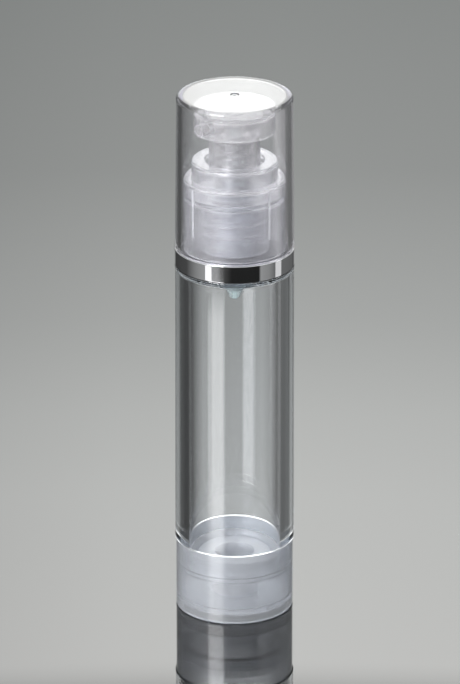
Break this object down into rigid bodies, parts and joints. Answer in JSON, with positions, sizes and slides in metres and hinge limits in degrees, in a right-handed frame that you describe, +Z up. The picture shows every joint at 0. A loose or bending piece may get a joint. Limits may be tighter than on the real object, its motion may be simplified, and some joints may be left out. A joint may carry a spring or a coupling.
{
  "type": "airless pump bottle",
  "caption": "Slim clear airless pump bottle with push-button pump under a clear overcap, bright shoulder ring, screw collar, follower piston and milky base cup.",
  "frame": {"origin": "centre of the foot rim, on the surface that the bottle stands on", "axes": "+Z up along the bottle's axis, -Y the way the spout points"},
  "size_m": [0.0334, 0.0334, 0.1516],
  "materials": {
    "clear_body": "polished clear styrene-acrylonitrile",
    "clear_cap": "polished clear styrene-acrylonitrile",
    "bright_ring": "metallised mirror bright",
    "milky_base": "natural polypropylene, smooth, milky",
    "natural_piston": "natural polyethylene, satin",
    "natural_collar": "natural polypropylene, smooth, milky",
    "natural_pump": "natural polypropylene, satin",
    "natural_button": "natural polypropylene, smooth, milky",
    "soft_seal": "soft polyethylene",
    "spring_steel": "drawn stainless wire",
    "valve_glass": "ground and polished"
  },
  "bodies": {
    "bottle": {"bottle_body": "clear_body", "shoulder_ring": "bright_ring", "base_cap": "milky_base"},
    "follower": {"follower_piston": "natural_piston"},
    "pump": {"pump_housing": "natural_pump", "guide_bushing": "natural_pump", "neck_gasket": "soft_seal", "return_spring": "spring_steel"},
    "collar": {"screw_collar": "natural_collar"},
    "cap": {"overcap": "clear_cap"},
    "plunger": {"piston_seal": "soft_seal"},
    "button": {"actuator_head": "natural_button", "nozzle_insert": "natural_button", "pump_stem": "natural_pump", "piston_rod": "natural_pump"},
    "inlet_valve": {"inlet_ball": "valve_glass"},
    "outlet_valve": {"outlet_ball": "valve_glass"}
  },
  "joints": [
    {"name": "follower_rise", "type": "slide", "parent": "bottle", "child": "follower", "axis": [0, 0, 1], "range_m": [0, 0.082]},
    {"name": "pump_lift", "type": "slide", "parent": "bottle", "child": "pump", "axis": [0, 0, 1], "range_m": [0, 0.0127]},
    {"name": "collar_spin", "type": "hinge", "parent": "pump", "child": "collar", "pos_m": [0, 0, 0.115], "axis": [0, 0, 1], "range_deg": [0, 1440]},
    {"name": "overcap_lift", "type": "slide", "parent": "collar", "child": "cap", "axis": [0, 0, 1], "range_m": [0, 0.055]},
    {"name": "button_press", "type": "slide", "parent": "pump", "child": "plunger", "axis": [0, 0, -1], "range_m": [0, 0.0055], "stiffness_N_per_m": 1600, "springref_m": -0.00375, "deforming": ["return_spring"]},
    {"name": "button_turn", "type": "hinge", "parent": "plunger", "child": "button", "pos_m": [0, 0, 0.13], "axis": [0, 0, 1], "continuous": true},
    {"name": "inlet_ball_lift", "type": "slide", "parent": "pump", "child": "inlet_valve", "axis": [0, 0, 1], "range_m": [0, 0.0009]},
    {"name": "outlet_ball_lift", "type": "slide", "parent": "button", "child": "outlet_valve", "axis": [0, 0, 1], "range_m": [0, 0.0008]}
  ],
  "couplings": [
    {"joint": "pump_lift", "follows": "collar_spin", "m_per_rad": 0.00050532}
  ]
}
